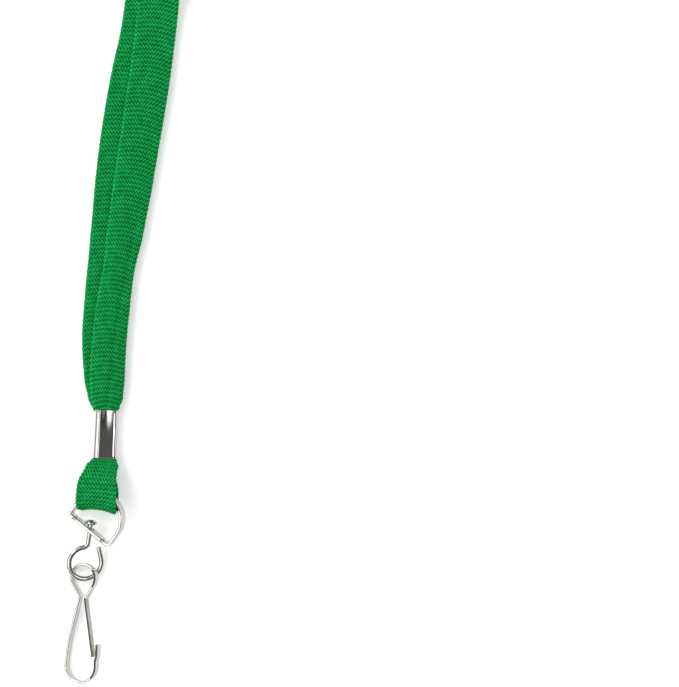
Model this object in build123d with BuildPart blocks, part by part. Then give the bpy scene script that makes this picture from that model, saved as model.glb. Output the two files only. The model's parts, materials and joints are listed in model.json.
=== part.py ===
from build123d import *
from math import asin, atan2, cos, degrees, hypot, radians, sin, tan
import os

# A lanyard badge holder lying on a table: a flat braided lace goes round the neck,
# both its strands enter a metal crimp, and a small loop of it below the crimp holds a
# D-ring. A headed pin turns in the ring's bar, and its eye carries a spring hook.
# Frame: origin under the middle of the crimp, +Y from hook to neck, +Z up, millimetres.

# Lace
lace_width = 10.0
lace_thick = 1.4
strand_gap = 0.2

# Crimp sleeve
crimp_width = 5.8
crimp_length = 12.0
crimp_sheet = 0.5
crimp_corner = 1.0
crimp_seam_gap = 0.15
crimp_seam_offset = 1.3
crimp_layers = 3
pressed_thin = 0.4
layer_gap = 0.04

# Small lace loop below the crimp
loop_drop = 10.0
loop_slack = 2.6
loop_room = 5.6
loop_wall = 0.75
loop_shift = -1.1
loop_shoulder = 7.0
loop_throat = 0.6

# D-ring: a flat strip with a straight bar
ring_spare = 3.7
ring_strip = 3.3
ring_thick = 0.8
ring_side = 3.4
ring_corner = 1.1
ring_notch = 0.45
ring_notch_inset = 2.3
ring_hung_at = 3.0
ring_slip = 1.0
ring_swing_drop = 1.1
ring_turn = -33.8
ring_pitch = 9.0
ring_roll = -11.0

# Swivel pin: headed round wire ending in an eye
wire = 1.3
pin_hole_clearance = 0.8
head_wide = 3.1
head_thick = 0.8
head_float = 1.45
head_edge = 0.24
shank_length = 3.5
eye_room = 3.45
eye_bend = 1.2
eye_last_turn = 20.0
eye_tail = 2.9
pin_turn = -6.6
link_rest = 2.21
pin_roll = 18.0

# Spring hook: a flat strip bent on edge
hook_strip = 2.2
hook_thick = 0.6
hook_eye_radius = 3.3
hook_eye_height = 5.05
neck_half = 0.85
neck_bend = 1.4
bend_radius = 4.0
bend_drop = 17.1
bend_shift = -0.25
spine_bow_radius = 30.0
spine_bow_lean = 12.0
spine_bow_x = -3.4
spine_bow_drop = 10.5
tip_rise = 5.6
tip_step = 0.4
tip_step_length = 4.2
tip_step_radius = 1.2
tip_step_run = 1.7
link_height = 4.7
link_side = -0.3
hook_turn = 1.4
hook_pitch = -0.7
hook_roll = -18.0

# Gate: the springing arm of the hook
gate_thick = 0.5
gate_strip = 2.0
gate_root_gap = 0.1
gate_tip_gap = 0.25
gate_overlap = 3.0

# Lace put away beyond the neck strands, and its tie
hank_foot = 118.0
hank_middle = 12.0
hank_fold_height = 144.5
hank_fold_radius = 16.2
hank_waist_height = 82.0
hank_waist_width = 11.2
hank_waist_margin = 2.0
apex_radius = 11.2
apex_right = 13.0
apex_height = 17.0
tie_band = 1.1
tie_width = 8.0
floor_gap = 0.05


def laid(origin, turn, pitch, roll):
    """A plane turned about Z, then pitched about its own X, then rolled about its own Y."""
    return Plane(Location(origin) * Rotation(0, 0, turn) * Rotation(pitch, 0, 0) * Rotation(0, roll, 0))


def point_of(plane, x, y, z=0):
    """The place in the frame of a point given in a plane's own coordinates."""
    return plane.from_local_coords(Vector(x, y, z))


def run_heading(near, far):
    """Heading of the straight run that leaves one bend and joins the next, in radians.

    A bend is (x, y, radius), and its radius is positive where the path turns left.
    """
    across = far[0] - near[0]
    along = far[1] - near[1]
    return atan2(along, across) - asin((far[2] - near[2]) / hypot(across, along))


def bend_point(bend, heading):
    """Where a path with this heading touches the bend."""
    return (bend[0] + bend[2] * sin(heading), bend[1] - bend[2] * cos(heading))


def bent_strip(bends):
    """Draw the centre line of a strip through its bends; the first and last are its ends."""
    headings = [run_heading(near, far) for near, far in zip(bends, bends[1:])]
    for near, far, heading in zip(bends, bends[1:], headings):
        Line(bend_point(near, heading), bend_point(far, heading))
    for bend, heading_in, heading_out in zip(bends[1:-1], headings, headings[1:]):
        side = 1 if bend[2] > 0 else -1
        turn = side * (degrees(side * (heading_out - heading_in)) % 360)
        CenterArc(bend[:2], abs(bend[2]), degrees(heading_in) - 90 * side, turn)


# ---- Crimp ---------------------------------------------------------------------------

crimp_thick = 2 * crimp_sheet + crimp_layers * (lace_thick - pressed_thin)
crimp_half = crimp_length / 2
mouth_width = crimp_width - 2 * crimp_sheet
mouth_thick = crimp_thick - 2 * crimp_sheet
crimp_middle = Plane(origin=(0, 0, crimp_thick / 2), x_dir=(1, 0, 0), z_dir=(0, -1, 0))

with BuildPart() as crimp_sleeve:
    with BuildSketch(crimp_middle):
        RectangleRounded(crimp_width, crimp_thick, crimp_corner)
        RectangleRounded(mouth_width, mouth_thick, crimp_corner - crimp_sheet, mode=Mode.SUBTRACT)
        with Locations((crimp_seam_offset, (crimp_sheet - crimp_thick) / 2)):
            Rectangle(crimp_seam_gap, 2 * crimp_sheet, mode=Mode.SUBTRACT)
    extrude(amount=crimp_half, both=True)

layer_thick = mouth_thick / crimp_layers
with BuildPart() as lace_crimped:
    with BuildSketch(crimp_middle):
        with GridLocations(0, layer_thick, 1, crimp_layers):
            RectangleRounded(mouth_width - crimp_corner / 2, layer_thick - layer_gap, layer_thick / 4)
    extrude(amount=crimp_half, both=True)

# ---- Small loop of lace below the crimp ----------------------------------------------

# The loop leans sideways as the ring inside it does.
room_radius = loop_room / 2
loop_radius = room_radius + loop_wall
loop_down = crimp_half + loop_drop
ring_lean = laid((0, 0, 0), ring_turn, ring_pitch, ring_roll)
loop_across = Vector(ring_lean.z_dir.Z, 0, -ring_lean.z_dir.X).normalized()
loop_lift = loop_radius * loop_across.X + lace_width / 2 * loop_across.Z + floor_gap
loop_side = Plane(origin=(loop_shift, 0, loop_lift), x_dir=(0, 1, 0), z_dir=loop_across)
mouth_drop = crimp_thick / 2 - loop_lift

with BuildSketch(loop_side) as loop_outside:
    with Locations((-loop_down, 0), (loop_slack - loop_down, 0)):
        Circle(loop_radius)
    with Locations((-crimp_half - loop_wall / 2, mouth_drop)):
        Rectangle(loop_wall, mouth_thick)
    make_hull()

with BuildSketch(loop_side) as loop_inside:
    with Locations((-loop_down, 0), (loop_slack - loop_down, 0)):
        Circle(room_radius)
    with Locations((-crimp_half - loop_drop / 3, mouth_drop * loop_throat)):
        Circle(loop_wall / 3)
    make_hull()

loop_left = loop_shift - lace_width / 2
loop_right = loop_shift + lace_width / 2
with BuildPart() as lace_loop:
    extrude(loop_outside.sketch, amount=lace_width / 2, both=True)
    extrude(loop_inside.sketch, amount=lace_width, both=True, mode=Mode.SUBTRACT)
    with BuildSketch(Plane.XY):
        with BuildLine():
            Polyline(
                (-mouth_width / 2, -crimp_half),
                (loop_left - loop_wall, -crimp_half - loop_shoulder),
                (loop_left - loop_wall, -loop_down - 2 * loop_radius),
                (loop_right + loop_wall, -loop_down - 2 * loop_radius),
                (loop_right + loop_wall, -crimp_half - loop_shoulder),
                (mouth_width / 2, -crimp_half),
                close=True,
            )
        make_face()
    extrude(amount=4 * loop_radius, mode=Mode.INTERSECT)

# ---- D-ring ---------------------------------------------------------------------------

# The ring hangs from the point of its arch that lies in the middle of the lace loop.
ring_width = lace_width + ring_spare
arch_radius = (ring_width - ring_thick) / 2
arch_top = ring_side + (arch_radius ** 2 - ring_hung_at ** 2) ** 0.5
ring_hung = point_of(loop_side, loop_slack / 2 - loop_down, 0, ring_slip)
ring_swing = point_of(loop_side, loop_slack / 2 - loop_down - ring_swing_drop, 0)
ring_place = ring_hung - point_of(ring_lean, -ring_hung_at, arch_top)
ring_plane = laid(ring_place, ring_turn, ring_pitch, ring_roll)
pin_hole = (wire + pin_hole_clearance) / 2


def ring_outline(inset):
    """The D of the ring, drawn inside its outer edge by the inset."""
    half = ring_width / 2 - inset
    bottom = inset - ring_thick / 2
    with BuildSketch(ring_plane) as outline:
        with BuildLine():
            Polyline((-half, ring_side), (-half, bottom), (half, bottom), (half, ring_side))
            CenterArc((0, ring_side), half, 0, 180)
        make_face()
        bar_corners = outline.vertices().group_by(Axis.Y)[0]
        fillet(bar_corners, ring_corner - inset)
    return outline.sketch


with BuildPart() as d_ring:
    extrude(ring_outline(0), amount=ring_strip / 2, both=True)
    extrude(ring_outline(ring_thick), amount=ring_strip, both=True, mode=Mode.SUBTRACT)
    bar_face = Plane(point_of(ring_plane, 0, 0), x_dir=ring_plane.x_dir, z_dir=ring_plane.y_dir)
    with BuildSketch(bar_face):
        Circle(pin_hole)
        with GridLocations(ring_width - 2 * ring_notch_inset, ring_strip, 2, 2):
            Circle(ring_notch)
    extrude(amount=ring_thick, both=True, mode=Mode.SUBTRACT)

# ---- Swivel pin -----------------------------------------------------------------------

# The pin slopes down from the ring until the bottom of its eye is at the link's height.
eye_radius = eye_room + wire / 2
bend_reach = eye_radius + eye_bend
eye_rise = (bend_reach ** 2 - eye_bend ** 2) ** 0.5
eye_y = -shank_length - eye_rise
pin_pitch = degrees(asin((ring_place.Z - link_rest) / (eye_radius - eye_y)))
pin_plane = laid(ring_place, pin_turn, pin_pitch, pin_roll)
bend_angle = 90 - degrees(asin(eye_bend / bend_reach))
eye_sweep = 180 + bend_angle + eye_last_turn

with BuildPart() as swivel_pin:
    with BuildLine(pin_plane) as pin_line:
        shank = Line((0, head_float + head_thick / 2), (0, -shank_length))
        neck = JernArc(shank @ 1, shank % 1, eye_bend, -bend_angle)
        eye = JernArc(neck @ 1, neck % 1, eye_radius, eye_sweep)
        Line(eye @ 1, eye @ 1 + (eye % 1) * eye_tail)
    with BuildSketch(Plane(origin=shank @ 0, z_dir=shank % 0)):
        Circle(wire / 2)
    sweep(path=pin_line.wires()[0])
    with BuildSketch(pin_plane):
        with Locations((0, head_float)):
            RectangleRounded(head_wide, head_thick, head_edge, align=(Align.CENTER, Align.MIN))
            Rectangle(head_wide, head_wide, align=(Align.MAX, Align.CENTER), mode=Mode.SUBTRACT)
    revolve(axis=Axis(pin_plane.origin, pin_plane.y_dir))

# ---- Spring hook ----------------------------------------------------------------------

# The wire of the pin's eye lies through the closed loop on top of the hook.
hook_lean = laid((0, 0, 0), hook_turn, hook_pitch, hook_roll)
eye_bottom = point_of(pin_plane, 0, eye_y - eye_radius)
hook_place = eye_bottom - point_of(hook_lean, link_side, link_height)
hook_plane = laid(hook_place, hook_turn, hook_pitch, hook_roll)

bow_side = radians(spine_bow_lean)
spine_bow = (
    spine_bow_x + spine_bow_radius * cos(bow_side),
    -spine_bow_drop - spine_bow_radius * sin(bow_side),
    spine_bow_radius,
)
tip_x = bend_shift + bend_radius
tip_base = tip_rise - tip_step_length - bend_drop
hook_bends = [
    (neck_half, 0, 0),
    (0, hook_eye_height, hook_eye_radius),
    (-neck_half - neck_bend, 0, -neck_bend),
    spine_bow,
    (bend_shift, -bend_drop, bend_radius),
    (tip_x + tip_step_radius, tip_base, -tip_step_radius),
    (tip_x + tip_step - tip_step_radius, tip_base + tip_step_run, tip_step_radius),
    (tip_x + tip_step, tip_rise - bend_drop, 0),
]

with BuildPart() as spring_hook:
    with BuildSketch(hook_plane):
        with BuildLine() as hook_line:
            bent_strip(hook_bends)
        trace(line_width=hook_thick)
    extrude(amount=hook_strip / 2, both=True)

# ---- Gate of the hook -----------------------------------------------------------------

neck_heading = run_heading(hook_bends[0], hook_bends[1])
root_step = gate_thick / 2 + gate_root_gap
gate_root = (neck_half - root_step * cos(neck_heading), -root_step * sin(neck_heading))
gate_end = (
    tip_x + tip_step - (hook_thick + gate_thick) / 2 - gate_tip_gap - tip_step,
    tip_rise - bend_drop - gate_overlap,
)

with BuildPart() as hook_gate:
    with BuildSketch(hook_plane):
        with BuildLine():
            Line(gate_root, gate_end)
        trace(line_width=gate_thick)
        with Locations(gate_root):
            Circle(gate_thick / 2)
    extrude(amount=gate_strip / 2, both=True)

# ---- Neck strands ---------------------------------------------------------------------

# Each strand runs flat from the crimp to the hank, the back one under the front one.
front_points = [
    (0, crimp_half), (0, 18), (0.9, 34), (3.0, 52),
    (4.9, 71), (7.2, 89), (9.6, 104), (9.6, hank_foot),
]
back_points = [
    (-0.6, crimp_half), (-0.6, 17), (-1.4, 32), (-0.7, 49),
    (0.7, 68), (2.5, 86), (5.4, 103), (5.4, hank_foot),
]
back_height = crimp_thick / 2 - (lace_thick + strand_gap) / 2
front_height = crimp_thick / 2 + (lace_thick + strand_gap) / 2


def corner_radii(points):
    """Radius of each arc: 0.45 of its shorter run over the tangent of half its turn."""
    radii = []
    for before, corner, after in zip(points, points[1:], points[2:]):
        run_in = Vector(*corner) - Vector(*before)
        run_out = Vector(*after) - Vector(*corner)
        half_turn = radians(run_in.get_angle(run_out)) / 2
        radii.append(0.45 * min(run_in.length, run_out.length) / tan(half_turn))
    return radii


def strand(name, points, height):
    """One flat strand along its points, at one height, as a solid of the lace's section."""
    radii = corner_radii(points)
    with BuildPart() as solid:
        with BuildLine(Plane.XY.offset(height)) as route:
            FilletPolyline(*points, radius=radii)
        path = route.wires()[0]
        with BuildSketch(Plane(origin=path @ 0, x_dir=(0, 0, 1), z_dir=path % 0)):
            Rectangle(lace_thick, lace_width)
        sweep(path=path)
    print(name, "arc radii", [round(radius, 1) for radius in radii], "length", round(path.length, 1))
    print("  volume over section times length", solid.part.volume / (lace_thick * lace_width * path.length))
    return solid


lace_neck_front = strand("lace_neck_front", front_points, front_height)
lace_neck_back = strand("lace_neck_back", back_points, back_height)

# ---- Put-away length and its tie ------------------------------------------------------

waist_y = hank_foot + hank_waist_height
apex_x = hank_middle + apex_right
entry_middle = (front_points[-1][0] + back_points[-1][0]) / 2
entry_width = front_points[-1][0] - back_points[-1][0] + lace_width
waist_half = tie_width / 2 + hank_waist_margin
hank_height = lace_width + tie_band

with BuildSketch() as hank_top:
    with Locations((hank_middle, hank_foot + hank_fold_height)):
        Circle(hank_fold_radius)
    with Locations((hank_middle, waist_y + waist_half)):
        Rectangle(hank_waist_width, hank_waist_margin, align=(Align.CENTER, Align.MAX))
    make_hull()

with BuildSketch() as hank_bottom:
    with Locations((apex_x, hank_foot + apex_height)):
        Circle(apex_radius)
    with Locations((entry_middle, hank_foot)):
        Rectangle(entry_width, lace_width, align=(Align.CENTER, Align.MIN))
    with Locations((hank_middle, waist_y - waist_half)):
        Rectangle(hank_waist_width, hank_waist_margin, align=(Align.CENTER, Align.MIN))
    make_hull()

tie_section = Plane(origin=(hank_middle, waist_y, tie_band), x_dir=(1, 0, 0), z_dir=(0, -1, 0))
with BuildPart() as lace_hank:
    extrude(hank_top.sketch, amount=hank_height)
    extrude(hank_bottom.sketch, amount=hank_height)
    with BuildSketch(tie_section):
        Rectangle(hank_waist_width, lace_width, align=(Align.CENTER, Align.MIN))
    extrude(amount=waist_half, both=True)

with BuildPart() as hank_tie:
    with BuildSketch(tie_section):
        with Locations((0, lace_width / 2)):
            RectangleRounded(hank_waist_width + 2 * tie_band, lace_width + 2 * tie_band, tie_band)
            Rectangle(hank_waist_width, lace_width, mode=Mode.SUBTRACT)
    extrude(amount=tie_width / 2, both=True)

# ---- Write the sub-parts --------------------------------------------------------------

pieces = {
    "crimp_sleeve": crimp_sleeve,
    "lace_crimped": lace_crimped,
    "lace_loop": lace_loop,
    "d_ring": d_ring,
    "swivel_pin": swivel_pin,
    "spring_hook": spring_hook,
    "hook_gate": hook_gate,
    "lace_neck_front": lace_neck_front,
    "lace_neck_back": lace_neck_back,
    "lace_hank": lace_hank,
    "hank_tie": hank_tie,
}

os.makedirs("parts", exist_ok=True)
for name, piece in pieces.items():
    piece.part.label = name
    export_step(piece.part, "parts/" + name + ".step")
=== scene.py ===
import json
from math import asin, atan2, cos, degrees, exp, hypot, pi, radians, sin, sqrt
import bmesh
import bpy
import numpy as np
from mathutils import Matrix, Vector


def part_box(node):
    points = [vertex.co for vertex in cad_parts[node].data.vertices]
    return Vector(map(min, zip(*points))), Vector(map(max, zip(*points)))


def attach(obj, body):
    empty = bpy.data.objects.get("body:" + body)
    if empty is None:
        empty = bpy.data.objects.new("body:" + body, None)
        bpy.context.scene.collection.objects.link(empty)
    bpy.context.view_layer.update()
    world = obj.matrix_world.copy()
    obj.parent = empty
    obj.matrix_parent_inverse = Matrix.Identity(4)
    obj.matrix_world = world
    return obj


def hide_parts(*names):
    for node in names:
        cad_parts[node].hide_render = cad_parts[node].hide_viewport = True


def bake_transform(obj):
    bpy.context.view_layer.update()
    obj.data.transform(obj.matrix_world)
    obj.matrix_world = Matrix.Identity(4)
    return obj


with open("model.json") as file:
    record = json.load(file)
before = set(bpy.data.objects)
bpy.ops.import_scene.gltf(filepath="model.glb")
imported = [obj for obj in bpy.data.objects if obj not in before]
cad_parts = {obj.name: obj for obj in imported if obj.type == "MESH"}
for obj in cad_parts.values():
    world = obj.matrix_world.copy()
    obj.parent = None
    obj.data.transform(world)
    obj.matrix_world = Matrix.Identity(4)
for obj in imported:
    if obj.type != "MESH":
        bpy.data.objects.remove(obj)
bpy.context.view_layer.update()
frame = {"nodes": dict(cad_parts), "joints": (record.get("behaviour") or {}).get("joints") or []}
scene = bpy.context.scene
mm = 0.001
joint = {entry["name"]: entry for entry in frame["joints"]}


# ---- Places of the metal parts ---------------------------------------------------------

def laid(origin, turn, pitch, roll):
    """Turned about Z, then pitched about its own X, then rolled about its own Y."""
    placed = Matrix.Translation(Vector(origin)) @ Matrix.Rotation(radians(turn), 4, "Z")
    return placed @ Matrix.Rotation(radians(pitch), 4, "X") @ Matrix.Rotation(radians(roll), 4, "Y")


wire = 1.3 * mm
shank_length = 3.5 * mm
eye_radius = 4.1 * mm
eye_bend = 1.2 * mm
eye_drop = shank_length + sqrt((eye_radius + eye_bend) ** 2 - eye_bend ** 2)
ring_place = Vector(joint["pin_swivel"]["pos_m"])
ring_plane = laid(ring_place, -33.8, 9.0, -11.0)
pin_pitch = degrees(asin(joint["pin_swivel"]["axis"][2]))
pin_plane = laid(ring_place, -6.6, pin_pitch, 18.0)
hook_angles = (1.4, -0.7, -18.0)
hook_lean = laid((0, 0, 0), *hook_angles)
eye_bottom = pin_plane @ Vector((0, -eye_drop - eye_radius, 0))
eye_on_hook = Vector((-0.3 * mm, 4.7 * mm, 0))
hook_plane = laid(eye_bottom - hook_lean @ eye_on_hook, *hook_angles)


# ---- Camera -----------------------------------------------------------------------------

view_turn = radians(2.4)
view_width = 169.75 * mm
camera_height = 0.54
eye_level = 3 * mm
sensor_width = 36
camera_data = bpy.data.cameras.new("camera")
camera_data.sensor_fit = "HORIZONTAL"
camera_data.sensor_width = sensor_width
camera_data.lens = sensor_width * (camera_height - eye_level) / view_width
camera = bpy.data.objects.new("camera", camera_data)
camera.location = (57.5 * mm, 25.1 * mm, camera_height)
camera.rotation_euler = (0, 0, view_turn)
scene.collection.objects.link(camera)
scene.camera = camera


# ---- Materials --------------------------------------------------------------------------

def new_material(name, colour, roughness, metallic=0.0):
    made = bpy.data.materials.new(name)
    made.use_nodes = True
    surface = made.node_tree.nodes["Principled BSDF"]
    surface.inputs["Base Color"].default_value = (*colour, 1)
    surface.inputs["Roughness"].default_value = roughness
    surface.inputs["Metallic"].default_value = metallic
    return made, surface


def node(made, kind, **settings):
    added = made.node_tree.nodes.new(kind)
    for setting, value in settings.items():
        if setting in added.inputs:
            added.inputs[setting].default_value = value
        else:
            setattr(added, setting, value)
    return added


def join(made, start, end):
    made.node_tree.links.new(start, end)


def noise(made, size, detail=3.0, squeeze=(1, 1, 1)):
    """Noise on Object coordinates whose lumps are about this size in metres."""
    place = node(made, "ShaderNodeTexCoord")
    mapping = node(made, "ShaderNodeMapping", Scale=squeeze)
    lumps = node(made, "ShaderNodeTexNoise", Scale=1 / size, Detail=detail)
    join(made, place.outputs["Object"], mapping.inputs["Vector"])
    join(made, mapping.outputs["Vector"], lumps.inputs["Vector"])
    return lumps.outputs["Fac"]


def spread(made, fac, low, high, low_at=0.3, high_at=0.7):
    """Map a noise value to a range of numbers."""
    ramp = node(made, "ShaderNodeMapRange")
    ramp.inputs["From Min"].default_value = low_at
    ramp.inputs["From Max"].default_value = high_at
    ramp.inputs["To Min"].default_value = low
    ramp.inputs["To Max"].default_value = high
    join(made, fac, ramp.inputs["Value"])
    return ramp.outputs["Result"]


def two_colours(made, fac, first, second, low_at=0.35, high_at=0.65):
    ramp = node(made, "ShaderNodeValToRGB")
    ramp.color_ramp.elements[0].position = low_at
    ramp.color_ramp.elements[1].position = high_at
    ramp.color_ramp.elements[0].color = (*first, 1)
    ramp.color_ramp.elements[1].color = (*second, 1)
    join(made, fac, ramp.inputs["Fac"])
    return ramp.outputs["Color"]


def bump(made, surface, fac, height, strength=1.0):
    relief = node(made, "ShaderNodeBump", Strength=strength, Distance=height)
    join(made, fac, relief.inputs["Height"])
    join(made, relief.outputs["Normal"], surface.inputs["Normal"])


def bright_nickel(name, tint, haze):
    made, surface = new_material(name, tint, haze, 1.0)
    dulled = tuple(0.88 * part for part in tint)
    blotch = noise(made, 1.6 * mm, 4.0)
    join(made, two_colours(made, blotch, dulled, tint), surface.inputs["Base Color"])
    join(made, spread(made, noise(made, 0.5 * mm), haze * 0.7, haze * 1.7), surface.inputs["Roughness"])
    bump(made, surface, noise(made, 1.1 * mm, 2.0), 0.012 * mm, 0.6)
    return made


def lace_yarn(name, lit, deep, fibre):
    made, surface = new_material(name, lit, 0.62)
    surface.inputs["Sheen Weight"].default_value = 0.02
    surface.inputs["Sheen Roughness"].default_value = 0.45
    surface.inputs["Sheen Tint"].default_value = (0.5, 1.0, 0.6, 1)
    surface.inputs["Specular IOR Level"].default_value = 0.05
    mottle = noise(made, 2.2 * mm, 5.0)
    join(made, two_colours(made, mottle, deep, lit, 0.25, 0.75), surface.inputs["Base Color"])
    join(made, spread(made, noise(made, 0.4 * mm), 0.7, 0.9), surface.inputs["Roughness"])
    bump(made, surface, noise(made, fibre, 3.0), 0.05 * mm, 0.7)
    return made


nickel = bright_nickel("bright_nickel", (0.54, 0.525, 0.495), 0.055)
wire_nickel = bright_nickel("wire_nickel", (0.58, 0.565, 0.53), 0.08)
# The gate's nickel is a darker copy of the same metal: painted shade, for the gate lying in shade.
gate_nickel_painted_shade = bright_nickel("gate_nickel_painted_shade", (0.36, 0.345, 0.315), 0.10)
# A near-black metal painted on the right-hand edge faces of hook and gate: painted shade.
painted_shade_edge_metal = bright_nickel("painted_shade_edge_metal", (0.085, 0.078, 0.068), 0.26)
yarn = lace_yarn("green_yarn", (0.012, 0.46, 0.105), (0.007, 0.31, 0.070), 0.14 * mm)
# The lace body, seen in the gaps between the stitches, is a much darker green than the yarn: painted shade
# between the stitches.
lace_body_painted_shade = lace_yarn("green_lace_body", (0.002, 0.13, 0.026), (0.001, 0.09, 0.018), 0.3 * mm)


def tie_webbing():
    made, surface = new_material("tie_webbing", (0.03, 0.03, 0.034), 0.8)
    surface.inputs["Sheen Weight"].default_value = 0.3
    tufts = noise(made, 0.35 * mm, 4.0)
    weave = two_colours(made, tufts, (0.014, 0.014, 0.016), (0.05, 0.05, 0.055))
    join(made, weave, surface.inputs["Base Color"])
    bump(made, surface, tufts, 0.12 * mm, 0.9)
    return made


def pale_floor():
    made, surface = new_material("pale_floor", (0.86, 0.86, 0.86), 0.55)
    surface.inputs["Emission Color"].default_value = (1, 1, 1, 1)
    surface.inputs["Emission Strength"].default_value = floor_glow
    paper = noise(made, 3 * mm, 4.0)
    tone = two_colours(made, paper, (0.85, 0.85, 0.85), (0.87, 0.87, 0.87))
    join(made, tone, surface.inputs["Base Color"])
    bump(made, surface, noise(made, 0.5 * mm), 0.01 * mm, 0.3)
    return made


tie_black = tie_webbing()
floor_glow = 0.40
floor_reach = 15


# ---- Making meshes ----------------------------------------------------------------------

def finished(name, mesh, material, smooth=True):
    """An object of the mesh, at the origin."""
    mesh.materials.clear()
    mesh.materials.append(material)
    for face in mesh.polygons:
        face.use_smooth = smooth
    piece = bpy.data.objects.new(name, mesh)
    scene.collection.objects.link(piece)
    return piece


def outward(mesh):
    form = bmesh.new()
    form.from_mesh(mesh)
    bmesh.ops.remove_doubles(form, verts=form.verts, dist=1e-7)
    bmesh.ops.recalc_face_normals(form, faces=form.faces)
    form.to_mesh(mesh)
    form.free()


def skin(name, rings, closed=False, capped=True):
    """A mesh over rings of points; every ring has the same number of points."""
    count, around = rings.shape[:2]
    faces = []
    for ring in range(count if closed else count - 1):
        here = ring * around
        there = (ring + 1) % count * around
        for point in range(around):
            after = (point + 1) % around
            faces.append((here + point, here + after, there + after, there + point))
    if capped and not closed:
        faces.append(tuple(reversed(range(around))))
        faces.append(tuple(range((count - 1) * around, count * around)))
    mesh = bpy.data.meshes.new(name)
    mesh.from_pydata(rings.reshape(-1, 3).tolist(), [], faces)
    outward(mesh)
    return mesh


def rounded_section(wide, thick, corner, steps=4):
    """Outline of a flat strip's section: wide along the first number, thick along the second."""
    outline = []
    for quarter, (side, lift) in enumerate(((1, 1), (-1, 1), (-1, -1), (1, -1))):
        for step in range(steps + 1):
            angle = pi / 2 * (quarter + step / steps)
            outline.append((
                side * (wide / 2 - corner) + corner * cos(angle),
                lift * (thick / 2 - corner) + corner * sin(angle),
            ))
    return np.array(outline)


def round_section(diameter, steps=20):
    angles = np.arange(steps) * 2 * pi / steps
    return np.stack([np.cos(angles), np.sin(angles)], axis=1) * diameter / 2


def flat_path(parts, step):
    """Points and headings of a planar path of lines and arcs.

    A line is its two ends, and an arc is its centre, radius, first angle and sweep in radians.
    """
    points, headings = [], []
    for part in parts:
        if len(part) == 2:
            (x0, y0), (x1, y1) = part
            count = max(1, int(hypot(x1 - x0, y1 - y0) / step))
            heading = atan2(y1 - y0, x1 - x0)
            for number in range(count + 1):
                share = number / count
                points.append((x0 + (x1 - x0) * share, y0 + (y1 - y0) * share))
                headings.append(heading)
        else:
            (x, y), radius, start, sweep = part
            count = max(4, int(abs(sweep) * radius / step), int(abs(sweep) / 0.12))
            turn = pi / 2 if sweep > 0 else -pi / 2
            for number in range(count + 1):
                angle = start + sweep * number / count
                points.append((x + radius * cos(angle), y + radius * sin(angle)))
                headings.append(angle + turn)
    kept = [0]
    for number in range(1, len(points)):
        last = points[kept[-1]]
        if hypot(points[number][0] - last[0], points[number][1] - last[1]) > step / 20:
            kept.append(number)
    return np.array(points)[kept], np.array(headings)[kept]


def bent_along(name, place, path, section, material, closed=False, ease=0.0):
    """A strip or wire bent along a planar path; the section's first number is its width
    across the plane, and its second is its thickness in the plane."""
    points, headings = path
    if closed:
        points, headings = points[:-1], headings[:-1]
    rings = []
    scales = np.ones(len(points))
    pushes = np.zeros(len(points))
    if ease:
        steps = 4
        lead = np.linspace(0, pi / 2, steps + 1)[:-1]
        first, last = points[0], points[-1]
        points = np.concatenate([[first] * steps, points, [last] * steps])
        headings = np.concatenate([[headings[0]] * steps, headings, [headings[-1]] * steps])
        scales = np.concatenate([np.sin(lead), scales, np.sin(lead[::-1])])
        pushes = np.concatenate([-np.cos(lead), pushes, np.cos(lead[::-1])]) * ease
    half_wide = section[:, 0].max()
    half_thick = section[:, 1].max()
    for (x, y), heading, scale, push in zip(points, headings, scales, pushes):
        wide = (half_wide - ease * (1 - scale)) / half_wide
        thick = (half_thick - ease * (1 - scale)) / half_thick
        x += cos(heading) * push
        y += sin(heading) * push
        ring = [
            place @ Vector((
                x - sin(heading) * b * max(thick, 0.02),
                y + cos(heading) * b * max(thick, 0.02),
                a * max(wide, 0.02),
            ))
            for a, b in section
        ]
        rings.append(ring)
    return finished(name, skin(name, np.array(rings), closed), material)


# ---- Lace route -------------------------------------------------------------------------

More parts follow.
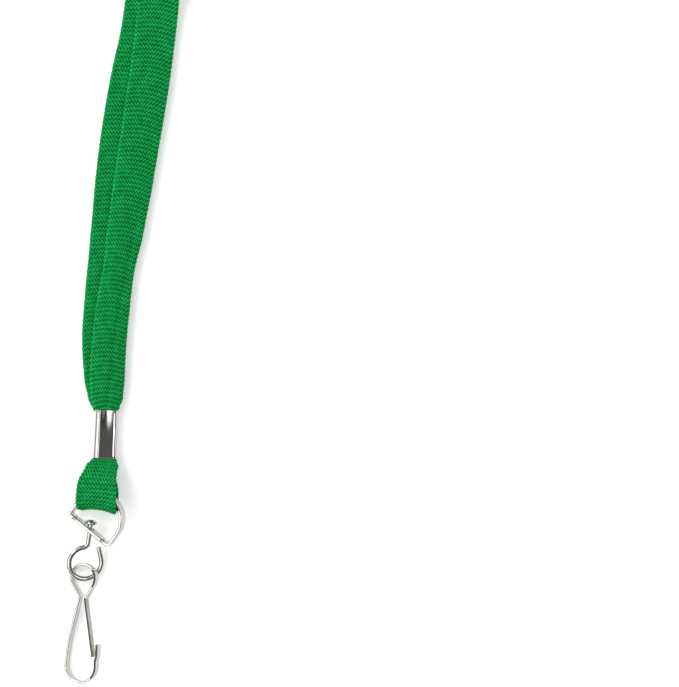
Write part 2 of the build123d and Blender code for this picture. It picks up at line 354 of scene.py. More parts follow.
# From the crimp up the front strand, through the put-away hank, and back to the crimp.
route = [
    (0.0000, 0.0060, 0.0027), (-0.0003, 0.0180, 0.0033), (0.0006, 0.0340, 0.0031),
    (0.0030, 0.0520, 0.0029), (0.0052, 0.0710, 0.0028), (0.0073, 0.0890, 0.0028),
    (0.0085, 0.1040, 0.0027), (0.0096, 0.1180, 0.0051), (0.0094, 0.1320, 0.0055),
    (0.0090, 0.1480, 0.0053), (0.0090, 0.1650, 0.0053), (0.0100, 0.1830, 0.0054),
    (0.0105, 0.1930, 0.0063), (0.0105, 0.2070, 0.0063), (0.0084, 0.2180, 0.0054),
    (0.0040, 0.2360, 0.0053), (0.0015, 0.2540, 0.0053), (0.0022, 0.2700, 0.0053),
    (0.0120, 0.2755, 0.0053), (0.0218, 0.2700, 0.0053), (0.0225, 0.2540, 0.0053),
    (0.0200, 0.2360, 0.0053), (0.0156, 0.2180, 0.0054), (0.0135, 0.2070, 0.0063),
    (0.0135, 0.1930, 0.0063), (0.0138, 0.1830, 0.0054), (0.0144, 0.1650, 0.0053),
    (0.0141, 0.1480, 0.0053), (0.0143, 0.1340, 0.0053), (0.0165, 0.1240, 0.0053),
    (0.0250, 0.1228, 0.0053), (0.0335, 0.1240, 0.0053), (0.0358, 0.1340, 0.0053),
    (0.0330, 0.1500, 0.0053), (0.0268, 0.1660, 0.0053), (0.0206, 0.1820, 0.0054),
    (0.0165, 0.1930, 0.0063), (0.0165, 0.2070, 0.0063), (0.0210, 0.2190, 0.0054),
    (0.0258, 0.2370, 0.0053), (0.0278, 0.2560, 0.0053), (0.0270, 0.2765, 0.0053),
    (0.0120, 0.2790, 0.0053), (-0.0030, 0.2765, 0.0053), (-0.0038, 0.2560, 0.0053),
    (-0.0018, 0.2370, 0.0053), (0.0030, 0.2190, 0.0054), (0.0075, 0.2070, 0.0063),
    (0.0075, 0.1930, 0.0063), (0.0060, 0.1830, 0.0054), (0.0042, 0.1650, 0.0053),
    (0.0036, 0.1480, 0.0053), (0.0044, 0.1320, 0.0056), (0.0056, 0.1180, 0.0052),
    (0.0052, 0.1040, 0.0013), (0.0022, 0.0890, 0.0009), (0.0000, 0.0710, 0.0009),
    (-0.0011, 0.0520, 0.0009), (-0.0024, 0.0340, 0.0010), (-0.0028, 0.0180, 0.0011),
    (-0.0004, 0.0060, 0.0012),
]
lace_thick = 1.1 * mm
twist_start = 104 * mm
twist_end = 132 * mm
crease_spread = 0.16


def smooth_line(name, places):
    """Points along a smooth line drawn through a list of places."""
    curve = bpy.data.curves.new(name, "CURVE")
    curve.dimensions = "3D"
    curve.resolution_u = 24
    spline = curve.splines.new("NURBS")
    spline.points.add(len(places) - 1)
    for point, place in zip(spline.points, places):
        point.co = (*place, 1)
    spline.order_u = 3
    spline.use_endpoint_u = True
    line = bpy.data.objects.new(name, curve)
    scene.collection.objects.link(line)
    depsgraph = bpy.context.evaluated_depsgraph_get()
    mesh = bpy.data.meshes.new_from_object(line.evaluated_get(depsgraph))
    points = np.array([vertex.co[:] for vertex in mesh.vertices])
    bpy.data.objects.remove(line)
    bpy.data.meshes.remove(mesh)
    return points


def eased(places, at, values):
    """Values that change smoothly from one place to the next."""
    at = np.array(at) * mm
    values = np.array(values, float)
    number = np.clip(np.searchsorted(at, places) - 1, 0, len(at) - 2)
    share = np.clip((places - at[number]) / (at[number + 1] - at[number]), 0, 1)
    share = share * share * (3 - 2 * share)
    return values[number] * (1 - share) + values[number + 1] * share


class Lace:
    """The flat lace along a line: where each point of its skin is."""

    reach = 0.6 * mm

    def __init__(self, points, shape):
        steps = np.linalg.norm(np.diff(points, axis=0), axis=1)
        self.along = np.concatenate([[0], np.cumsum(steps)])
        self.length = self.along[-1]
        self.points = points
        self.shape = shape

    def place(self, where):
        return np.stack([np.interp(where, self.along, self.points[:, axis]) for axis in range(3)], axis=1)

    def heading(self, where):
        """Direction of the line, taken over a short reach to each side."""
        ahead = self.place(np.minimum(where + self.reach, self.length))
        behind = self.place(np.maximum(where - self.reach, 0))
        run = ahead - behind
        return run / np.linalg.norm(run, axis=1)[:, None]

    def axes(self, where):
        """Middle, width direction and face direction at distances along the line."""
        middle = self.place(where)
        run = self.heading(where)
        side = np.cross(run, (0, 0, 1))
        side /= np.linalg.norm(side, axis=1)[:, None]
        up = np.cross(side, run)
        roll = self.shape.roll(self, where, middle)[:, None]
        wide = np.cos(roll) * side + np.sin(roll) * up
        face = -np.sin(roll) * side + np.cos(roll) * up
        return middle, wide, face

    def skin_points(self, where, round_about, height, bow=0.0):
        """Points on the lace: distance along, share of the way round it, height above it.

        The bow carries the edges of each row of stitches back towards the crimp.
        """
        middle, wide, face = self.axes(where)
        half, thick, arch, crease, crease_at = self.shape.section(self, where, middle)
        edge = thick / 2
        flat = 2 * (half - edge)
        total = 2 * flat + 2 * pi * edge
        run = (round_about % 1) * total
        across = np.zeros_like(run)
        lift = np.zeros_like(run)
        top = run < flat
        left = (run >= flat) & (run < flat + pi * edge)
        bottom = (run >= flat + pi * edge) & (run < 2 * flat + pi * edge)
        right = run >= 2 * flat + pi * edge
        rise = edge + height
        across[top] = (half - edge - run)[top]
        lift[top] = rise[top]
        angle = pi / 2 + (run - flat) / edge
        across[left] = (edge - half + rise * np.cos(angle))[left]
        lift[left] = (rise * np.sin(angle))[left]
        across[bottom] = (edge - half + run - flat - pi * edge)[bottom]
        lift[bottom] = -rise[bottom]
        angle = -pi / 2 + (run - 2 * flat - pi * edge) / edge
        across[right] = (half - edge + rise * np.cos(angle))[right]
        lift[right] = (rise * np.sin(angle))[right]
        share = across / half
        if bow:
            towards = np.where(where < self.length / 2, -bow, bow)
            middle, wide, face = self.axes(np.clip(where + towards * share ** 2, 0, self.length))
        upper = np.clip(lift / edge, 0, 1)
        lift = lift + arch * (1 - share ** 2)
        lift = lift - crease * upper * np.exp(-((share - crease_at) / crease_spread) ** 2)
        return middle + across[:, None] * wide + lift[:, None] * face


class NeckShape:
    """How the long lace is turned, gathered and creased along its line."""

    @staticmethod
    def roll(lace, where, middle):
        share = np.clip((middle[:, 1] - twist_start) / (twist_end - twist_start), 0, 1)
        share = share * share * (3 - 2 * share)
        tipped = share * pi / 2
        return np.where(where < lace.length / 2, tipped, pi - tipped)

    @staticmethod
    def section(lace, where, middle):
        y = middle[:, 1]
        front = where < lace.length / 2
        stations = (6, 7.2, 10, 15, 30, 42, 52, 66, 90)
        half_front = eased(y, stations, (2.25, 3.0, 3.9, 4.2, 4.1, 3.8, 4.4, 4.75, 4.95))
        half_back = eased(y, stations, (2.25, 2.9, 3.8, 4.2, 4.4, 4.5, 4.7, 4.9, 4.95))
        arch_front = eased(y, (6, 9, 20, 36, 50, 80, 104), (0.2, 1.1, 1.2, 1.1, 0.8, 0.6, 0.0))
        arch_back = eased(y, (6, 10, 20, 40, 60, 104), (0.0, -0.1, -0.1, -0.1, 0.0, 0.0))
        crease = eased(y, (6, 10, 24, 44, 64, 100), (0.15, 0.5, 0.45, 0.5, 0.12, 0.0))
        crease_at = eased(y, (6, 20, 44, 100), (0.1, 0.35, 0.55, 0.6))
        half = np.where(front, half_front, half_back) * mm
        arch = np.where(front, arch_front, arch_back) * mm
        thick = np.full_like(y, lace_thick)
        tucked = eased(y, (10, 20, 60, 100, 114), (0.3, 0.55, 0.55, 0.4, 0.0))
        tucked_at = eased(y, (14, 30, 48, 70, 95, 108), (-0.42, -0.36, -0.12, 0.06, 0.08, 0.0))
        crease = np.where(front, crease, tucked) * mm
        return half, thick, arch, crease, np.where(front, crease_at, tucked_at)


# ---- Knitted skin of the lace -----------------------------------------------------------

def stitch_tree():
    """Rows and columns of slanted stitches on a flat field, as a Geometry Nodes tree."""
    tree = bpy.data.node_groups.new("knit_stitches", "GeometryNodeTree")
    tree.interface.new_socket("Geometry", in_out="INPUT", socket_type="NodeSocketGeometry")
    for label, kind in (
        ("Rows", "NodeSocketInt"), ("Columns", "NodeSocketInt"), ("Row Pitch", "NodeSocketFloat"),
        ("Column Pitch", "NodeSocketFloat"), ("Slant", "NodeSocketFloat"), ("Stitch", "NodeSocketVector"),
        ("Yarn", "NodeSocketMaterial"),
    ):
        tree.interface.new_socket(label, in_out="INPUT", socket_type=kind)
    tree.interface.new_socket("Geometry", in_out="OUTPUT", socket_type="NodeSocketGeometry")
    add = tree.nodes.new
    link = tree.links.new
    given = add("NodeGroupInput")
    result = add("NodeGroupOutput")

    def sum_of(kind, first, second):
        """The result of a small sum on one socket and a number or another socket."""
        worked = add("ShaderNodeMath")
        worked.operation = kind
        link(first, worked.inputs[0])
        if isinstance(second, (int, float)):
            worked.inputs[1].default_value = second
        else:
            link(second, worked.inputs[1])
        return worked.outputs[0]

    def field_size(count, pitch):
        return sum_of("MULTIPLY", sum_of("SUBTRACT", given.outputs[count], 1), given.outputs[pitch])

    field = add("GeometryNodeMeshGrid")
    link(given.outputs["Columns"], field.inputs["Vertices X"])
    link(given.outputs["Rows"], field.inputs["Vertices Y"])
    link(field_size("Columns", "Column Pitch"), field.inputs["Size X"])
    link(field_size("Rows", "Row Pitch"), field.inputs["Size Y"])
    bead = add("GeometryNodeMeshIcoSphere")
    bead.inputs["Radius"].default_value = 1
    bead.inputs["Subdivisions"].default_value = 1
    both = add("GeometryNodeJoinGeometry")
    for side, seed in ((1, 3), (-1, 8)):
        lean = add("ShaderNodeCombineXYZ")
        lean.inputs["X"].default_value = radians(-5)
        link(sum_of("MULTIPLY", given.outputs["Slant"], side), lean.inputs["Z"])
        move = add("ShaderNodeCombineXYZ")
        link(sum_of("MULTIPLY", given.outputs["Column Pitch"], side * 0.25), move.inputs["X"])
        moved = add("GeometryNodeSetPosition")
        link(field.outputs["Mesh"], moved.inputs["Geometry"])
        link(move.outputs[0], moved.inputs["Offset"])
        chance = add("FunctionNodeRandomValue")
        chance.data_type = "FLOAT"
        chance.inputs[2].default_value = 0.88
        chance.inputs[3].default_value = 1.1
        chance.inputs["Seed"].default_value = seed
        size = add("ShaderNodeVectorMath")
        size.operation = "SCALE"
        link(given.outputs["Stitch"], size.inputs[0])
        link(chance.outputs[1], size.inputs["Scale"])
        placed = add("GeometryNodeInstanceOnPoints")
        link(moved.outputs["Geometry"], placed.inputs["Points"])
        link(bead.outputs["Mesh"], placed.inputs["Instance"])
        link(lean.outputs[0], placed.inputs["Rotation"])
        link(size.outputs[0], placed.inputs["Scale"])
        link(placed.outputs["Instances"], both.inputs["Geometry"])
    whole = add("GeometryNodeRealizeInstances")
    painted = add("GeometryNodeSetMaterial")
    link(both.outputs["Geometry"], whole.inputs["Geometry"])
    link(whole.outputs["Geometry"], painted.inputs["Geometry"])
    link(given.outputs["Yarn"], painted.inputs["Material"])
    link(painted.outputs["Geometry"], result.inputs["Geometry"])
    return tree


knit = stitch_tree()
row_pitch = 1.12 * mm
column_pitch = 0.83 * mm
stitch_size = (0.205 * mm, 0.84 * mm, 0.26 * mm)
stitch_slant = radians(26)
row_bow = 0.8 * mm
top_middle = 0.235


def set_inputs(modifier, tree, **values):
    named = {item.name: item.identifier for item in tree.interface.items_tree if item.in_out == "INPUT"}
    for name, value in values.items():
        modifier[named[name.replace("_", " ")]] = value


def wrapped_knit(name, lace, start, end, bow, columns=26, cover=1.0):
    """Stitches wrapped round the lace, as a plain mesh. The cover is how much of the way
    round they go, from the middle of its upper side."""
    rows = max(2, int(round((end - start) / row_pitch)))
    pitch = (end - start) / rows
    girth = columns * column_pitch
    holder = bpy.data.objects.new(name, bpy.data.meshes.new(name))
    scene.collection.objects.link(holder)
    field = holder.modifiers.new("knit", "NODES")
    field.node_group = knit
    set_inputs(field, knit, Rows=rows, Columns=columns, Row_Pitch=pitch, Column_Pitch=column_pitch,
               Slant=stitch_slant, Stitch=stitch_size, Yarn=yarn)
    depsgraph = bpy.context.evaluated_depsgraph_get()
    mesh = bpy.data.meshes.new_from_object(holder.evaluated_get(depsgraph))
    flat = np.empty(len(mesh.vertices) * 3, np.float64)
    mesh.vertices.foreach_get("co", flat)
    flat = flat.reshape(-1, 3)
    where = np.clip(flat[:, 1] + (start + end) / 2, start, end)
    round_about = top_middle + flat[:, 0] / girth * cover
    wrapped = lace.skin_points(where, round_about, flat[:, 2], bow)
    mesh.vertices.foreach_set("co", wrapped.astype(np.float32).ravel())
    mesh.update()
    bpy.data.objects.remove(holder)
    return finished(name, mesh, yarn)


def lace_skin(name, lace, start, end, step, material):
    """The body of the lace under its stitches, closed at both ends."""
    count = int((end - start) / step) + 1
    places = np.linspace(start, end, count)
    around = 36
    share = np.arange(around) / around
    rings = lace.skin_points(
        np.repeat(places, around), np.tile(share, count), np.zeros(count * around)
    ).reshape(count, around, 3)
    return finished(name, skin(name, rings), material)


neck_line = smooth_line("lace_route", route)
neck_lace = Lace(neck_line, NeckShape)
lace_cord = lace_skin("lace_body_painted_shade", neck_lace, 0, neck_lace.length, 1.0 * mm, lace_body_painted_shade)
strand_end = 118 * mm
put_away = np.linspace(strand_end, neck_lace.length - strand_end, 7)
knit_spans = [(0, strand_end)] + list(zip(put_away, put_away[1:])) + [(put_away[-1], neck_lace.length)]
hank_names = ["lace_knit_hank_%d" % number for number in range(1, len(put_away))]
knit_names = ["lace_knit_front", *hank_names, "lace_knit_back"]
lace_knits = [
    wrapped_knit(name, neck_lace, start, end, row_bow)
    for name, (start, end) in zip(knit_names, knit_spans)
]


# ---- Small loop of lace below the crimp -------------------------------------------------

ring_axis = (ring_plane.to_3x3() @ Vector((0, 0, 1)))
loop_lean = atan2(-ring_axis.x, ring_axis.z)
loop_radius = 3.2 * mm
loop_bottom = -16.0 * mm
loop_lift = 4.75 * mm
loop_shift = -1.1 * mm
mouth_end = -5.2 * mm
loop_curl = 0.8 * mm
loop_thick = 0.7 * mm
under_shift = 0.6 * mm
under_narrow = 0.16


class LoopShape:
    """The small loop: narrow in the crimp, wide round the ring."""

    @staticmethod
    def section(lace, where, middle):
        y = middle[:, 1]
        half = eased(-y, (5, 6.2, 8, 13, 16.5, 20), (2.2, 2.9, 4.0, 4.95, 5.05, 4.7)) * mm
        thick = np.full_like(y, loop_thick)
        over = where < lace.length / 2
        half *= 1 - under_narrow * lace.under(where)
        arch = eased(-y, (5, 8, 12, 17, 20), (0.1, 0.5, 0.35, 0.1, 0.0)) * mm
        arch = np.where(over, arch, -arch * 0.3)
        crease = eased(-y, (5, 7, 11, 16), (0.1, 0.35, 0.15, 0.0)) * mm
        return half, thick, arch, np.where(over, crease, 0.0), np.full_like(y, -0.2)


def loop_places():
    """The loop's own line seen from the side: over the ring, round its strip and back."""
    top = loop_lift + loop_radius
    low = loop_lift - loop_radius
    end = loop_bottom - loop_radius
    corner = 0.414 * loop_radius
    straight_end = -12.0 * mm
    return [(0, y, z) for y, z in (
        (mouth_end, 2.9 * mm), (-6.8 * mm, 2.95 * mm), (-9.2 * mm, 5.7 * mm), (straight_end, top),
        (loop_bottom - corner, top), (end, loop_lift + corner), (end, loop_lift - corner),
        (loop_bottom - corner, low), (straight_end, low), (-7.0 * mm, 1.05 * mm), (mouth_end, 1.1 * mm),
    )]


class LoopLace(Lace):
    """The loop's lace: its width lies along X, then the whole loop leans with the ring."""

    reach = 0.4 * mm

    def axes(self, where):
        run = self.heading(where)
        wide = np.zeros_like(run)
        wide[:, 0] = -1
        return self.place(where), wide, np.cross(wide, run)

    def under(self, where):
        """How far a place is into the layer that lies below the ring, from 0 to 1."""
        share = np.clip((where / self.length - 0.47) / 0.10, 0, 1)
        return share * share * (3 - 2 * share)

    def skin_points(self, where, round_about, height, bow=0.0):
        """The edges of the upper layer curl up, and the lower layer keeps to the right."""
        flat = super().skin_points(where, round_about, height, bow)
        y = flat[:, 1]
        under = self.under(where)
        near_ring = np.clip((-y / mm - 11) / 3, 0, 1)
        outer = np.clip((np.abs(flat[:, 0]) / mm - 2.5) / 2.5, 0, 1.2)
        flat[:, 2] += (1 - under) * near_ring * outer ** 2 * loop_curl
        flat[:, 0] += under * near_ring * under_shift
        share = np.clip(flat[:, 0] / (5 * mm), -1.2, 1.2)
        depth = np.clip((-y / mm - 13) / 6, 0, 1)
        flat[:, 1] += depth * (0.9 * (1 - share ** 2) - 0.25 * share) * mm
        lean = loop_lean * np.clip((-y / mm - 6) / 6, 0, 1)
        slide = np.clip((-y / mm - 6) / 5, 0, 1) * loop_shift
        flat[:, 2] += flat[:, 0] * np.sin(lean)
        flat[:, 0] += slide
        return flat


loop_lace = LoopLace(smooth_line("loop_line", loop_places()), LoopShape)
loop_piece = lace_skin("lace_loop_body", loop_lace, 0, loop_lace.length, 0.5 * mm, lace_body_painted_shade)
loop_knit = wrapped_knit("lace_loop_knit", loop_lace, 0, loop_lace.length, 0, 13, 0.53)


# ---- Crimp ------------------------------------------------------------------------------

def crimp():
    """A sheet sleeve pressed flat round the lace, dished on its front face, seam below."""
    wide, thick, sheet = 5.6 * mm, 3.95 * mm, 0.5 * mm
    seam_at, seam_gap = 1.3 * mm, 0.15 * mm
    half_long, taper, raised = 6 * mm, 0.03, 2.05 * mm
    mouth_long, mouth_flare = 0.7 * mm, 0.035
    groove_at, groove_wide = -1.75 * mm, 0.16 * mm
    dent_x, dent_y = 0.1 * mm, 6.5 * mm
    dent_wide, dent_long, dent_deep = 1.0 * mm, 4.0 * mm, 0.30 * mm
    sway_deep, sway_long = 0.05 * mm, 1.5 * mm
    flat_half = 2.9 * mm
    outer = rounded_section(wide, thick, 0.95 * mm, 8)
    inner = rounded_section(wide - 2 * sheet, thick - 2 * sheet, 0.45 * mm, 8)

    def open_outline(outline, steps=160):
        """The outline from one side of the seam round to the other, evenly spaced."""
        ring = np.concatenate([outline, outline[:1]])
        run = np.concatenate([[0], np.cumsum(np.linalg.norm(np.diff(ring, axis=0), axis=1))])
        fine = np.linspace(0, run[-1], 1200)
        dense = np.stack([np.interp(fine, run, ring[:, axis]) for axis in range(2)], axis=1)
        low = dense[:, 1] < dense[:, 1].min() + 1e-6
        start = np.argmin(np.where(low, np.abs(dense[:, 0] - seam_at - seam_gap / 2), 1))
        dense = np.roll(dense[:-1], -start, axis=0)
        if dense[5, 0] < dense[0, 0]:
            dense = np.roll(dense[::-1], 1, axis=0)
        span = len(dense)
        stop = span - 1
        while dense[stop, 1] < dense[:, 1].min() + 1e-6 and dense[stop, 0] > seam_at - seam_gap / 2:
            stop -= 1
        keep = np.linspace(0, stop, steps).astype(int)
        return dense[keep]

    def shaped(outline, y, flare):
        lifted = []
        for x, z in outline:
            press = 0
            if z > 0:
                groove = groove_wide * exp(-((x - groove_at) / groove_wide) ** 2)
                off_dent = ((x - dent_x) / dent_wide) ** 2 + ((y - dent_y) / dent_long) ** 2
                sway = sway_deep * sin(y / sway_long) * (0.5 + x / wide)
                press = groove + dent_deep * exp(-off_dent) + sway * (1 - (x / flat_half) ** 2)
            squeeze = 1 - taper * (y / half_long)
            lifted.append((x * (1 + flare) * squeeze, y, z * (1 + flare) - press + raised))
        return lifted

    outer_line = open_outline(outer)
    inner_line = open_outline(inner)
    profile = np.concatenate([outer_line, inner_line[::-1]])
    rings = []
    for y in np.linspace(-half_long, half_long, 49):
        near = max(0, abs(y) - half_long + mouth_long) / mouth_long
        rings.append(shaped(profile, y, mouth_flare * near ** 2))
    piece = finished("crimp_sleeve_pressed", skin("crimp_sleeve_pressed", np.array(rings)), nickel)
    edge = piece.modifiers.new("edge", "BEVEL")
    edge.width = 0.09 * mm
    edge.segments = 3
    edge.limit_method = "ANGLE"
    edge.angle_limit = radians(50)
    return piece


crimp_piece = crimp()


# ---- D-ring -----------------------------------------------------------------------------

def cut_away(piece, cutters):
    for cutter in cutters:
        cut = piece.modifiers.new("cut", "BOOLEAN")
        cut.operation = "DIFFERENCE"
        cut.solver = "EXACT"
        cut.object = cutter
    depsgraph = bpy.context.evaluated_depsgraph_get()
    mesh = bpy.data.meshes.new_from_object(piece.evaluated_get(depsgraph))
    piece.modifiers.clear()
    piece.data = mesh
    for cutter in cutters:
        bpy.data.objects.remove(cutter)


def lathe(name, place, profile, material, steps=40):
    """A closed turned form: the profile gives radius and height along the place's own Y."""
    rings = []
    for radius, height in profile:
        ring = [
            place @ Vector((radius * cos(2 * pi * k / steps), height, radius * sin(2 * pi * k / steps)))
            for k in range(steps)
        ]
        rings.append(ring)
    return finished(name, skin(name, np.array(rings)), material)


def d_ring():
    half, corner, side = 6.45 * mm, 0.7 * mm, 3.4 * mm
    strip_wide, strip_thick = 3.3 * mm, 0.8 * mm
    path = flat_path([
        ((half - corner, 0), (-half + corner, 0)),
        ((-half + corner, corner), corner, -pi / 2, -pi / 2),
        ((-half, corner), (-half, side)),
        ((0, side), half, pi, -pi),
        ((half, side), (half, corner)),
        ((half - corner, corner), corner, 0, -pi / 2),
    ], 0.3 * mm)
    section = rounded_section(strip_wide, strip_thick, 0.24 * mm)
    piece = bent_along("d_ring_strip", ring_plane, path, section, nickel, closed=True)
    hole = 1.05 * mm
    flare = hole + 0.22 * mm
    cutters = [lathe("hole_cutter", ring_plane, (
        (flare + 0.2 * mm, -0.6 * mm), (flare, -0.4 * mm), (hole, -0.2 * mm),
        (hole, 0.2 * mm), (flare, 0.4 * mm), (flare + 0.2 * mm, 0.6 * mm)), nickel)]
    notch_at, notch_radius = 4.55 * mm, 0.45 * mm
    notch = ((notch_radius, -mm), (notch_radius, mm))
    for x in (-notch_at, notch_at):
        for z in (-strip_wide / 2, strip_wide / 2):
            spot = ring_plane @ Matrix.Translation((x, 0, z))
            cutters.append(lathe("notch_cutter", spot, notch, nickel, 20))
    cut_away(piece, cutters)
    return piece


ring_piece = d_ring()


# ---- Swivel pin -------------------------------------------------------------------------

def swivel_pin():
    head_low = 1.45 * mm
    tail_length = 2.9 * mm
    last_turn = radians(20)
    bend = pi / 2 - asin(eye_bend / (eye_radius + eye_bend))
    sweep = pi + bend + last_turn
    last = pi - bend + sweep
    last_point = Vector((eye_radius * cos(last), -eye_drop + eye_radius * sin(last)))
    tail = last_point + Vector((-sin(last), cos(last))) * tail_length
    path = flat_path([
        ((0, head_low + 0.1 * mm), (0, -shank_length)),
        ((-eye_bend, -shank_length), eye_bend, 0, -bend),
        ((0, -eye_drop), eye_radius, pi - bend, sweep),
        (tuple(last_point), tuple(tail)),
    ], 0.22 * mm)
    shank = bent_along("swivel_pin_wire", pin_plane, path, round_section(wire), wire_nickel, ease=0.3 * mm)
    profile = (
        (0.02, 1.86), (0.35, 1.88), (0.62, 1.98), (0.80, 2.17), (0.98, 2.25), (1.22, 2.24), (1.42, 2.14),
        (1.53, 1.98), (1.55, 1.82), (1.52, 1.66), (1.42, 1.53), (1.25, 1.46), (0.9, 1.45), (0.02, 1.45),
    )
    head = lathe("swivel_pin_head", pin_plane, [(r * mm, y * mm) for r, y in profile], wire_nickel, 48)
    return shank, head


pin_wire, pin_head = swivel_pin()


# ---- Spring hook and gate ---------------------------------------------------------------

def run_heading(near, far):
    across = far[0] - near[0]
    along = far[1] - near[1]
    return atan2(along, across) - asin((far[2] - near[2]) / hypot(across, along))


def touch(bend, heading):
    return (bend[0] + bend[2] * sin(heading), bend[1] - bend[2] * cos(heading))


def bent_path(bends, step):
    """The centre line of a strip through its bends, as for the hook."""
    headings = [run_heading(near, far) for near, far in zip(bends, bends[1:])]
    parts = []
    for number, (near, far, heading) in enumerate(zip(bends, bends[1:], headings)):
        parts.append((touch(near, heading), touch(far, heading)))
        if number + 1 < len(headings):
            side = 1 if far[2] > 0 else -1
            turn = side * ((side * (headings[number + 1] - heading)) % (2 * pi))
            parts.append(((far[0], far[1]), abs(far[2]), heading - side * pi / 2, turn))
    return flat_path(parts, step)


bend_radius, bend_drop, bend_shift = 4.0 * mm, 17.1 * mm, -0.25 * mm
tip_x = bend_shift + bend_radius
tip_rise, tip_length, tip_step, tip_step_radius = 5.6 * mm, 4.2 * mm, 0.4 * mm, 1.2 * mm
tip_base = tip_rise - tip_length - bend_drop
tip_step_length = 1.7 * mm
neck_half, neck_radius = 0.85 * mm, 1.4 * mm
hook_eye_radius, hook_eye_height = 3.3 * mm, 5.05 * mm
side_radius, side_at, side_turn = 30 * mm, (-3.4 * mm, -10.5 * mm), radians(12)
hook_bends = [
    (neck_half, 0, 0),
    (0, hook_eye_height, hook_eye_radius),
    (-neck_half - neck_radius, 0, -neck_radius),
    (side_at[0] + side_radius * cos(side_turn), side_at[1] - side_radius * sin(side_turn), side_radius),
    (bend_shift, -bend_drop, bend_radius),
    (tip_x + tip_step_radius, tip_base, -tip_step_radius),
    (tip_x + tip_step - tip_step_radius, tip_base + tip_step_length, tip_step_radius),
    (tip_x + tip_step, tip_rise - bend_drop, 0),
]
hook_thick, gate_thick = 0.6 * mm, 0.5 * mm
end_ease = 0.14 * mm
hook_section = rounded_section(2.2 * mm, hook_thick, 0.2 * mm)
gate_section = rounded_section(2.0 * mm, gate_thick, 0.16 * mm)
hook_piece = bent_along("spring_hook_strip", hook_plane, bent_path(hook_bends, 0.3 * mm), hook_section,
                        nickel, ease=end_ease)

gate_root = hook_plane.inverted() @ Vector(joint["gate_press"]["pos_m"])
gate_reach, gate_gap = 3.0 * mm, 0.55 * mm
gate_end = (tip_x - gate_gap - gate_thick / 2, tip_rise - bend_drop - gate_reach)
gate_tucked = 0.25 * mm
first_heading = run_heading(hook_bends[0], hook_bends[1])
gate_start = (neck_half + gate_tucked * cos(first_heading), gate_tucked * sin(first_heading))
gate_piece = bent_along("hook_gate_arm", hook_plane, flat_path([
    (gate_start, (gate_root.x, gate_root.y)),
    ((gate_root.x, gate_root.y), gate_end),
], 0.3 * mm), gate_section, gate_nickel_painted_shade, ease=end_ease)


def paint_shade_on_edges(piece, place, from_x):
    """Painted shade: the strip's edge faces right of a line along the hook get a near-black metal, for the
    shade they lie in.
    """
    piece.data.materials.append(painted_shade_edge_metal)
    across = place.to_3x3() @ Vector((0, 0, 1))
    back = place.inverted()
    for face in piece.data.polygons:
        if abs(face.normal.dot(across)) > 0.6 and (back @ face.center).x > from_x:
            face.material_index = 1


# Painted shade on the edge faces of the hook's tip side and of the gate.
paint_shade_on_edges(hook_piece, hook_plane, 2.6 * mm)
paint_shade_on_edges(gate_piece, hook_plane, 0.2 * mm)


# ---- Tie of the hank --------------------------------------------------------------------

def hank_tie():
    """A webbing strap round the waist of the hank, its end lapped over on top."""
    low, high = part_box("hank_tie")
    middle = (low + high) / 2
    wide = high.x - low.x
    tall = high.z - low.z
    strap = 1.05 * mm
    radius = 1.6 * mm
    half_x = wide / 2 - strap / 2
    half_z = tall / 2 - strap / 2
    place = Matrix.Translation(middle) @ Matrix.Rotation(pi / 2, 4, "X")
    signs = ((1, 1), (-1, 1), (-1, -1), (1, -1))
    corners = [(x * (half_x - radius), y * (half_z - radius)) for x, y in signs]
    parts = []
    for quarter, ((x, y), (next_x, next_y)) in enumerate(zip(corners, corners[1:] + corners[:1])):
        turned = (quarter + 1) * pi / 2
        out_x, out_y = radius * cos(turned), radius * sin(turned)
        parts.append(((x, y), radius, turned - pi / 2, pi / 2))
        parts.append(((x + out_x, y + out_y), (next_x + out_x, next_y + out_y)))
    band = bent_along("hank_tie_strap", place, flat_path(parts, 0.4 * mm),
                      rounded_section(8.0 * mm, strap, 0.4 * mm), tie_black, closed=True)
    lap_y = half_z + strap
    lap = bent_along("hank_tie_lap", place, flat_path([
        ((half_x - 2.4 * mm, lap_y - 0.2 * mm), (0.6 * mm, lap_y)),
        ((0.6 * mm, lap_y), (-half_x + 2.2 * mm, lap_y)),
    ], 0.4 * mm), rounded_section(7.4 * mm, 0.9 * mm, 0.35 * mm), tie_black, ease=0.3 * mm)
    return band, lap


tie_band, tie_lap = hank_tie()


# ---- What each piece rides on -----------------------------------------------------------

for piece in (lace_cord, *lace_knits, loop_piece, loop_knit, crimp_piece, tie_band, tie_lap):
    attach(piece, "root")
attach(ring_piece, "ring")
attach(pin_wire, "swivel")
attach(pin_head, "swivel")
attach(hook_piece, "hook")
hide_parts("crimp_sleeve")
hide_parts("lace_loop")
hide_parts("d_ring")
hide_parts("swivel_pin")
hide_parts("spring_hook")
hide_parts("hank_tie")
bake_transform(gate_piece)
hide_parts("hook_gate")
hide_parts("lace_neck_front", "lace_neck_back", "lace_hank")
# The crimped lace takes the same darker green, with its painted shade.
lace_crimped = frame["nodes"]["lace_crimped"]
lace_crimped.data.materials.clear()
lace_crimped.data.materials.append(lace_body_painted_shade)


# ---- Floor and light --------------------------------------------------------------------

def floor():
    mesh = bpy.data.meshes.new("floor")
    corners = [(x * floor_reach, y * floor_reach, 0) for x, y in ((-1, -1), (1, -1), (1, 1), (-1, 1))]
    mesh.from_pydata(corners, [], [(0, 1, 2, 3)])
    piece = finished("floor", mesh, pale_floor(), False)


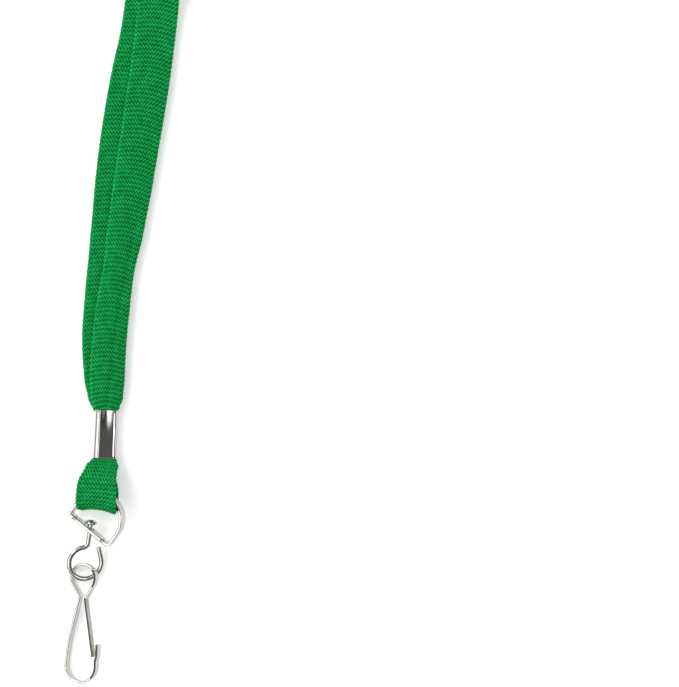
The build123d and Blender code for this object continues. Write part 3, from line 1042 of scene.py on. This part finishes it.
def soft_light(name, place, aim, size, power, colour=(1, 1, 1)):
    data = bpy.data.lights.new(name, "AREA")
    data.shape = "RECTANGLE"
    data.size, data.size_y = size
    data.energy = power
    data.color = colour
    lamp = bpy.data.objects.new(name, data)
    lamp.location = place
    lamp.rotation_euler = (Vector(aim) - Vector(place)).to_track_quat("-Z", "Y").to_euler()
    scene.collection.objects.link(lamp)


def studio_tent():
    """A pale tent: dark straight above and at the horizon, bright between, dimmer on the right."""
    world = bpy.data.worlds.new("studio_tent")
    world.use_nodes = True
    tree = world.node_tree
    place = tree.nodes.new("ShaderNodeTexCoord")
    parts = tree.nodes.new("ShaderNodeSeparateXYZ")
    height = tree.nodes.new("ShaderNodeValToRGB")
    side = tree.nodes.new("ShaderNodeMapRange")
    both = tree.nodes.new("ShaderNodeVectorMath")
    both.operation = "SCALE"
    for setting, value in (("From Min", -0.35), ("From Max", 0.25), ("To Min", 1.4), ("To Max", 0.25)):
        side.inputs[setting].default_value = value
    background = tree.nodes["Background"]
    background.inputs["Strength"].default_value = 1.6
    tree.links.new(place.outputs["Generated"], parts.inputs["Vector"])
    tree.links.new(parts.outputs["Z"], height.inputs["Fac"])
    tree.links.new(parts.outputs["X"], side.inputs["Value"])
    tree.links.new(height.outputs["Color"], both.inputs[0])
    tree.links.new(side.outputs["Result"], both.inputs["Scale"])
    tree.links.new(both.outputs["Vector"], background.inputs["Color"])
    bands = (
        (0.0, 0.65), (0.10, 0.65), (0.15, 0.04), (0.44, 0.05), (0.60, 0.35),
        (0.72, 1.0), (0.90, 1.1), (0.965, 0.50), (0.985, 0.10),
    )
    stops = height.color_ramp.elements
    while len(stops) < len(bands):
        stops.new(0.5)
    for stop, (at, level) in zip(stops, bands):
        stop.position = at
        stop.color = (level, level, level * 1.01, 1)
    scene.world = world


floor()
studio_tent()
soft_light("left_bank", (-0.55, 0.45, 0.85), (0, 0, 0), (0.35, 0.5), 3.6)
soft_light("right_bank", (0.6, 0.0, 0.8), (0, 0, 0), (0.2, 0.5), 1.6)
scene.view_settings.view_transform = "Standard"
